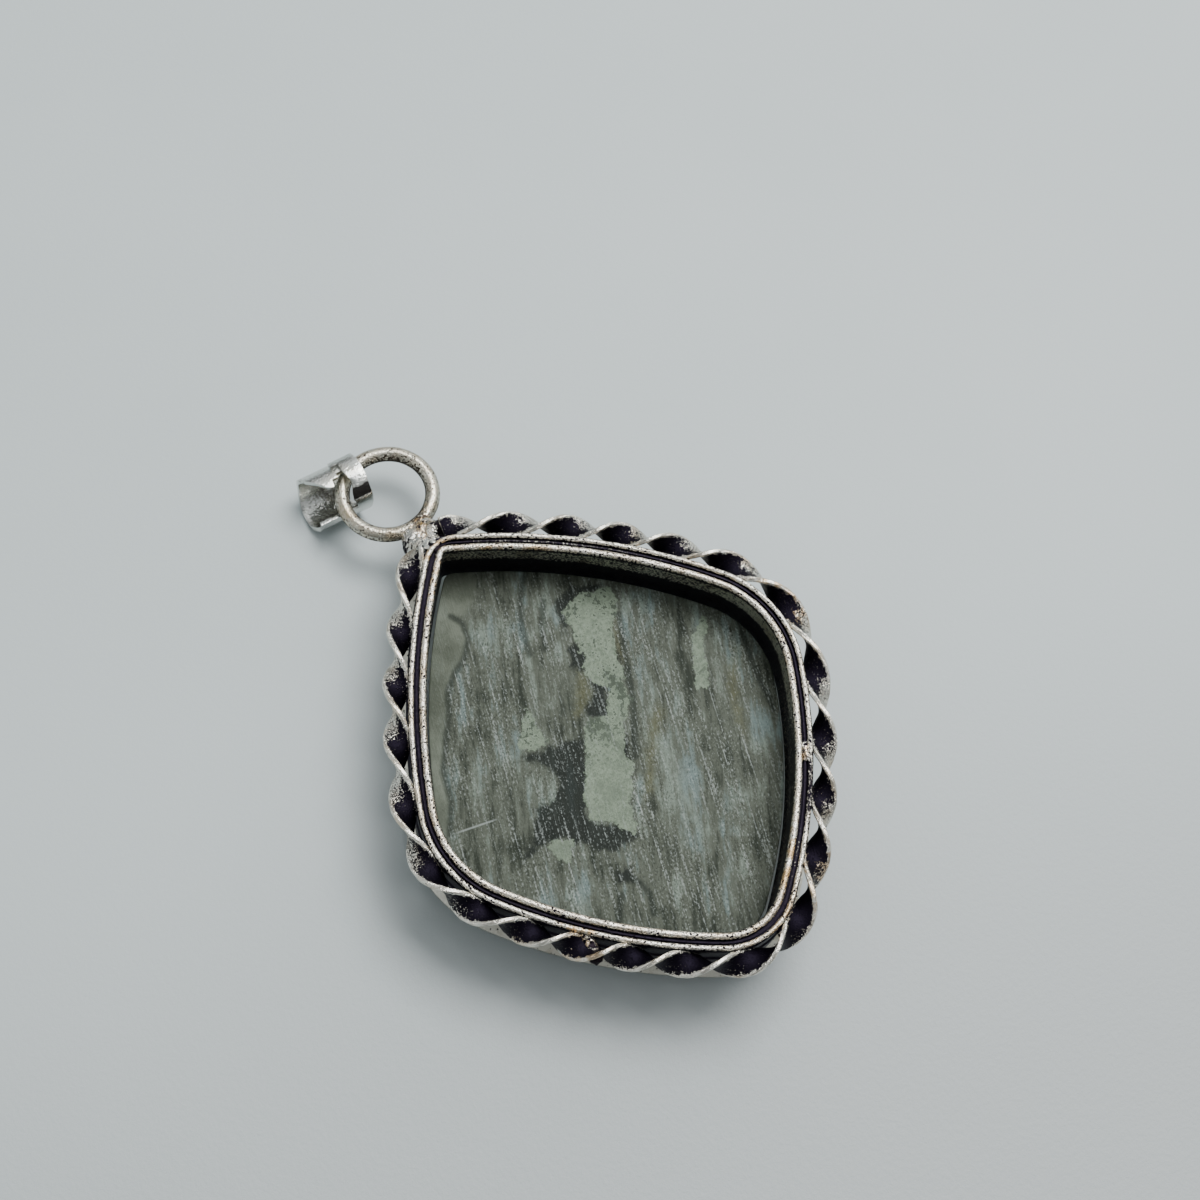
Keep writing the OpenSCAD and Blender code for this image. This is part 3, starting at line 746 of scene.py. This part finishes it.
VEINS = [
    [(-2.6, 9.6), (-2.3, 8.6), (-2.7, 7.4), (-3.8, 6.4), (-5.2, 5.9), (-6.4, 5.2), (-7.6, 3.6),
     (-9.2, 2.0), (-10.6, 0.6), (-11.6, -1.6), (-13.2, -3.4)],
    [(4.0, 8.7), (2.9, 7.9), (1.8, 6.7), (0.8, 5.2), (0.1, 3.5)],
    [(3.6, 6.2), (2.3, 4.8), (1.2, 3.1)],
    [(14.2, -4.3), (13.4, -5.9), (12.8, -7.3), (12.2, -8.9), (11.9, -10.2), (11.5, -11.2)],
    [(-5.0, -14.2), (-4.8, -15.8), (-5.6, -17.2)],
    [(7.4, 1.8), (5.8, -0.8), (3.4, -4.6), (1.0, -7.4)],
    [(-7.8, -16.0), (-6.4, -14.6)],
]


def depth_in(points, shape, closed=True):
    """How far points lie inside a shape, less than nought outside it; an open one gives less the distance."""
    corners = np.array(shape, float)
    nearest, inside = np.full(len(points), 99.0), np.zeros(len(points), bool)
    for a, b in list(zip(corners, np.roll(corners, -1, 0)))[:None if closed else -1]:
        step = b - a
        k = np.clip((points - a) @ step / (step @ step), 0, 1)
        nearest = np.minimum(nearest, np.hypot(*(points - a - k[:, None] * step).T))
        crossing = (a[1] > points[:, 1]) != (b[1] > points[:, 1])
        inside ^= crossing & (points[:, 0] < a[0] + (points[:, 1] - a[1]) * step[0] / (step[1] + 1e-9))
    return np.where(inside & closed, nearest, -nearest)


def deepest(points, shapes, closed=True):
    """How far points lie inside the nearest of several shapes."""
    return np.max([depth_in(points, shape, closed) for shape in shapes], 0)


def stone_material():
    """Streaked grey-green stone with pale and dark patches, ground on its back and polished on its dome."""
    material, tree, shader = new_material("ground_stone")
    value = {name: add(tree, "ShaderNodeAttribute", attribute_name=name).outputs["Fac"]
             for name in ("pale", "dark", "plain", "tan", "vein", "ground")}
    place = in_mm(tree)

    def stretched(angle, length):
        """The place drawn out along an angle, for streaks."""
        return add(tree, "ShaderNodeMapping", {"Vector": place, "Rotation": (0, 0, math.radians(angle)),
                                               "Scale": (length, 1, 1)}, vector_type="TEXTURE").outputs[0]

    ragged = plus(tree, times(tree, grain(tree, place, 1.2, 5, 0.7), 1.5),
                  times(tree, grain(tree, place, 5.0, 3, 0.6), 0.4))
    # Streaks from dark to light green, some of them cooler.
    bands = grain(tree, stretched(STREAK_ANGLE, 7), 0.9, 6, 0.66)
    fine_bands = grain(tree, stretched(STREAK_ANGLE + 4, 8), 3.0, 4, 0.65)
    clouds = grain(tree, place, 0.25, 5, 0.62)
    tone = plus(tree, plus(tree, bands, times(tree, fine_bands, 0.6)), times(tree, clouds, 0.9))
    color = tinted(tree, rise(tree, tone, -0.26, 0.03), STREAK_DARK, STREAK_GREY)
    cool = rise(tree, grain(tree, stretched(STREAK_ANGLE, 4), 0.45, 3), -0.06, 0.1)
    light_color = tinted(tree, cool, LIGHT_GREEN, LIGHT_COOL)
    color = tinted(tree, rise(tree, tone, 0.0, 0.24), color, light_color)
    # Tan, plain and dark patches with ragged edges.
    tan = rise(tree, plus(tree, value["tan"], ragged), -0.4, 0.7)
    color = tinted(tree, times(tree, tan, 0.6), color, TAN)
    smooth_part = rise(tree, plus(tree, value["plain"], times(tree, ragged, 0.4)), -0.25, 0.25)
    plain_color = tinted(tree, rise(tree, clouds, -0.15, 0.2), PLAIN_DARK, PLAIN_LIGHT)
    color = tinted(tree, times(tree, smooth_part, 0.85), color, plain_color)
    dark = rise(tree, plus(tree, value["dark"], ragged), -0.35, 0.2)
    color = tinted(tree, times(tree, dark, 0.93), color, BLACK_GREEN)
    # Pale patches, mottled and eaten through with dark specks, and the veins.
    blooms = rise(tree, grain(tree, place, 2.6, 4, 0.7), -0.14, 0.1)
    eaten = plus(tree, grain(tree, place, 2.6, 3, 0.6), times(tree, grain(tree, place, 0.5, 2), 0.8))
    eaten = rise(tree, eaten, 0.05, 0.09)
    upper = rise(tree, add(tree, "ShaderNodeSeparateXYZ", {0: place}).outputs[1], -8, -3)
    pale = rise(tree, plus(tree, value["pale"], ragged), -0.05, 0.09)
    pale_color = tinted(tree, blooms, PALE_DARK, PALE_LIGHT)
    color = tinted(tree, times(tree, pale, 0.95), color, pale_color)
    eaten = times(tree, times(tree, eaten, between(tree, upper, 0.35, 0.8)), pale)
    color = tinted(tree, eaten, color, EATEN_GREEN)
    vein = rise(tree, plus(tree, value["vein"], times(tree, ragged, 0.25)), -0.4, -0.06)
    color = tinted(tree, times(tree, vein, 0.7), color, VEIN_GREEN)

    # Grinding marks on the back: soot in the hollows, pale powder on the ridges, one nick and fine lines.
    scratches = grain(tree, stretched(SCRATCH_ANGLE, 34), 5.5, 2, 0.6)
    speckles = grain(tree, stretched(SCRATCH_ANGLE - 2, 1.5), 7.5, 2, 0.8)
    swarms = rise(tree, grain(tree, stretched(SCRATCH_ANGLE - 4, 3), 0.45, 5, 0.65), -0.16, 0.14)
    clean = calc(tree, "MAXIMUM", smooth_part, times(tree, pale, 0.75))
    ground = times(tree, value["ground"], between(tree, swarms, 0.35, 1.0))
    ground = times(tree, ground, between(tree, clean, 1.0, 0.18))
    soot = times(tree, rise(tree, speckles, -0.02, -0.16), ground)
    color = tinted(tree, times(tree, soot, 0.72), color, SOOT)
    powder = plus(tree, speckles, times(tree, scratches, 0.9))
    powder = times(tree, rise(tree, powder, 0.05, 0.24), ground)
    color = tinted(tree, times(tree, powder, 0.54), color, POWDER)
    nick = add(tree, "ShaderNodeMapping", {"Vector": place, "Location": (-11.3, -4.15, 0),
                                           "Rotation": (0, 0, math.radians(-20))}, vector_type="TEXTURE")
    nick = add(tree, "ShaderNodeSeparateXYZ", {0: nick.outputs[0]})
    cut = rise(tree, calc(tree, "ABSOLUTE", nick.outputs[1]), 0.1, 0.03)
    cut = times(tree, cut, rise(tree, calc(tree, "ABSOLUTE", nick.outputs[0]), 1.9, 0.9))
    color = tinted(tree, times(tree, cut, 0.55), color, NICK)
    lines = times(tree, rise(tree, scratches, 0.17, 0.25), between(tree, dark, ground, 0.2))
    color = tinted(tree, times(tree, lines, 0.35), color, SCRATCH)
    tree.links.new(color, shader.inputs["Base Color"])
    shader.inputs["Specular IOR Level"].default_value = 0.12
    ground_rough = plus(tree, 0.55, times(tree, scratches, 0.5))
    tree.links.new(between(tree, value["ground"], 0.3, ground_rough), shader.inputs["Roughness"])
    tree.links.new(between(tree, value["ground"], 0.7, 0.0), shader.inputs["Coat Weight"])
    shader.inputs["Coat Roughness"].default_value = 0.08
    relief = times(tree, plus(tree, scratches, speckles), value["ground"])
    bump = add(tree, "ShaderNodeBump", {"Height": relief, "Strength": 0.5, "Distance": 0.06 * MM})
    tree.links.new(bump.outputs[0], shader.inputs["Normal"])
    return material


stone_arcs = outline_arcs(1.6)
girdle_s = arc_lengths(-STONE_IN, stone_arcs).sum() * np.arange(STONE_STEPS) / STONE_STEPS
edge_xy, _ = on_outline(girdle_s, -STONE_IN, stone_arcs)
# Rows of [share of the girdle's reach, height], from the middle of the back over the girdle to the dome's.
rows = [(f, BACK_Z) for f in np.linspace(0.012, 0.994, 80)] + [(0.998, BACK_Z - 0.012), (1, BACK_Z - 0.06)]
rows += [(1, z) for z in (2.8, 2.5, GIRDLE_Z)]
rows += [(f, GIRDLE_Z * max(0, (f - APEX) / (1 - APEX)) ** DOME_POWER)
         for f in 1 - np.linspace(0.03, 1, 48) ** 1.3 * 0.988]
points = np.concatenate([np.column_stack((edge_xy * f - MIDDLE, np.full(STONE_STEPS, z))) for f, z in rows])
last_row = (len(rows) - 1) * STONE_STEPS
faces = []
for row in range(0, last_row, STONE_STEPS):
    for k in range(STONE_STEPS):
        k_next = (k + 1) % STONE_STEPS
        faces.append((row + k_next, row + STONE_STEPS + k_next, row + STONE_STEPS + k, row + k))
faces += [tuple(range(STONE_STEPS - 1, -1, -1)), tuple(range(last_row, last_row + STONE_STEPS))]
stone_mesh = bpy.data.meshes.new("stone")
stone_mesh.from_pydata([tuple(p) for p in points * MM], [], faces)
stone_mesh.materials.append(stone_material())
stone_mesh.shade_smooth()
stone_mesh.set_sharp_from_angle(angle=math.radians(50))
stone = bpy.data.objects.new("cabochon", stone_mesh)
bpy.context.scene.collection.objects.link(stone)
plan = points[:, :2]
attach(stone, "stone", "stone", pale=deepest(plan, PALE_PATCHES), dark=deepest(plan, DARK_PATCHES),
       plain=deepest(plan, SMOOTH_PATCHES), tan=deepest(plan, TAN_PATCHES), vein=deepest(plan, VEINS, False),
       ground=(points[:, 2] > GIRDLE_Z - 0.1).astype(float))

# THE BAIL
# A sheet of bright silver rolled into a short tube, with its top cut away to
# leave a pointed flap and closed over the ring by a narrow strap. It hangs
# loose on the ring.
BAIL_R, BAIL_T, BAIL_LEN = 2.15, 0.33, 4.55
BAIL_START, BAIL_TURN = (-5.1, 29.35), math.radians(-10.2)
FLAP_SLANT, FLAP_FROM = math.radians(39.1), math.radians(38)
END_SLANT, END_HIGH = math.radians(24), 1.0
CORNER_FROM, CORNER_TO, CORNER_CUT = 138, 270, 1.4
CUT_STEP = 0.4


def rolled(name, outline, radius, thickness, finish):
    """A sheet cut to an outline of [degrees round the bore, length along it] and rolled to that radius."""
    work = bmesh.new()
    work.faces.new([work.verts.new((math.radians(t) * radius, a, 0)) for t, a in outline])
    spans = np.array(outline).min(0), np.array(outline).max(0)
    for t in np.arange(math.ceil(spans[0][0]) + 3, spans[1][0] - 1, 4):
        bmesh.ops.bisect_plane(work, geom=work.verts[:] + work.edges[:] + work.faces[:],
                               plane_co=(math.radians(t) * radius, 0, 0), plane_no=(1, 0, 0))
    for a in np.arange(spans[0][1] + CUT_STEP, spans[1][1] - 0.1, CUT_STEP):
        bmesh.ops.bisect_plane(work, geom=work.verts[:] + work.edges[:] + work.faces[:],
                               plane_co=(0, a, 0), plane_no=(0, 1, 0))
    turn_z = Matrix.Rotation(BAIL_TURN, 4, "Z")
    start = Vector((BAIL_START[0] - MIDDLE[0], BAIL_START[1] - MIDDLE[1], BAIL_R))
    for v in work.verts:
        t, a = v.co.x / radius, v.co.y
        v.co = (turn_z @ Vector((a, radius * math.cos(t), radius * math.sin(t))) + start) * MM
    along = (turn_z @ Vector((1, 0, 0))).normalized()
    work.normal_update()
    work.faces.ensure_lookup_table()
    face = work.faces[0]
    away = face.calc_center_median() - start * MM
    if face.normal.dot(away - along * away.dot(along)) < 0:
        bmesh.ops.reverse_faces(work, faces=work.faces[:])
    mesh = bpy.data.meshes.new(name)
    work.to_mesh(mesh)
    work.free()
    mesh.materials.append(finish)
    piece = bpy.data.objects.new(name, mesh)
    bpy.context.scene.collection.objects.link(piece)
    shell = piece.modifiers.new("thickness", "SOLIDIFY")
    shell.thickness = thickness * MM
    shell.offset = -1
    shell.use_even_offset = True
    soft = piece.modifiers.new("soft_edges", "BEVEL")
    soft.width = 0.045 * MM
    soft.segments = 2
    soft.limit_method = "ANGLE"
    soft.angle_limit = math.radians(50)
    made = bpy.data.meshes.new_from_object(piece.evaluated_get(bpy.context.evaluated_depsgraph_get()))
    piece.modifiers.clear()
    piece.data = made
    made.name = name
    made.shade_smooth()
    made.set_sharp_from_angle(angle=math.radians(40))
    return piece


def flap_edge(t):
    """Where the slanting cut of the flap lies along the tube, at an angle round it."""
    return BAIL_R * (math.cos(FLAP_FROM) - math.cos(math.radians(t))) * math.tan(FLAP_SLANT)


def tube_end(t):
    """Where the tube ends at an angle round it: rounded at the flap's corner, slanting on the other side."""
    if CORNER_FROM <= t < CORNER_TO:
        return BAIL_LEN - CORNER_CUT * ((t - CORNER_FROM) / (CORNER_TO - CORNER_FROM)) ** 1.6
    return min(BAIL_LEN, BAIL_LEN + (BAIL_R * math.sin(math.radians(t)) - END_HIGH) * math.tan(END_SLANT))


bail_silver = silver_finish("bail_silver", (0.64, 0.65, 0.62), warm=(0.55, 0.53, 0.46),
                            oxide=(0.03, 0.028, 0.027), speckle=0.3, pitting=0.05, grains=5, gloss=0.15,
                            relief=0.04)
sheet_outline = [(138, 3.15), (167, 3.15), (167, 0), (190, 0), (205, -0.03), (220, -0.22), (235, -0.4),
                 (250, -0.48), (275, -0.48), (295, -0.4), (315, -0.24), (335, -0.06), (355, 0), (386, 0),
                 (393, 0.08), (398, 0.22)]
sheet_outline += [(t, max(flap_edge(t % 360), 0.3)) for t in range(402, 461, 4)]
sheet_outline += [(460, flap_edge(100)), (460, 2.05), (443, 2.15), (443, 2.65), (433, 2.65), (433, 3.6),
                  (378, 3.6)]
sheet_outline += [(t, tube_end(t % 360)) for t in range(378, 137, -6)]
sheet = rolled("bail_sheet", sheet_outline, BAIL_R, BAIL_T, bail_silver)
strap_outline = [(46, 2.5), (61, 2.5), (61, 3.09), (79, 3.1), (90, 3.17), (97, 3.28), (107, 3.36),
                 (118, 3.25), (128, 3.1), (143, 3.0), (143, 4.43), (125, 4.49), (107, 4.56), (91, 4.6),
                 (70, 4.58), (46, 4.45)]
strap = rolled("bail_strap", strap_outline, BAIL_R + BAIL_T, BAIL_T + 0.05, bail_silver)
for piece in (sheet, strap):
    co = coords(piece)
    # Bright all over, apart from a dark patch on the strap, a painted dark reflection.
    level = co[:, 2] - BAIL_R
    x, y = co[:, 0] + MIDDLE[0] - BAIL_START[0], co[:, 1] + MIDDLE[1] - BAIL_START[1]
    side = y * math.cos(BAIL_TURN) - x * math.sin(BAIL_TURN)
    around = np.degrees(np.arctan2(level, side)) % 360
    rub = np.full(len(co), 0.76)
    if piece is strap:
        # Painted reflection: the strap's dark patch.
        rub -= 0.46 * smooth(around, 114, 121) * smooth(around, 142, 137)
    attach(piece, "bail", "bright_silver", rub=rub)
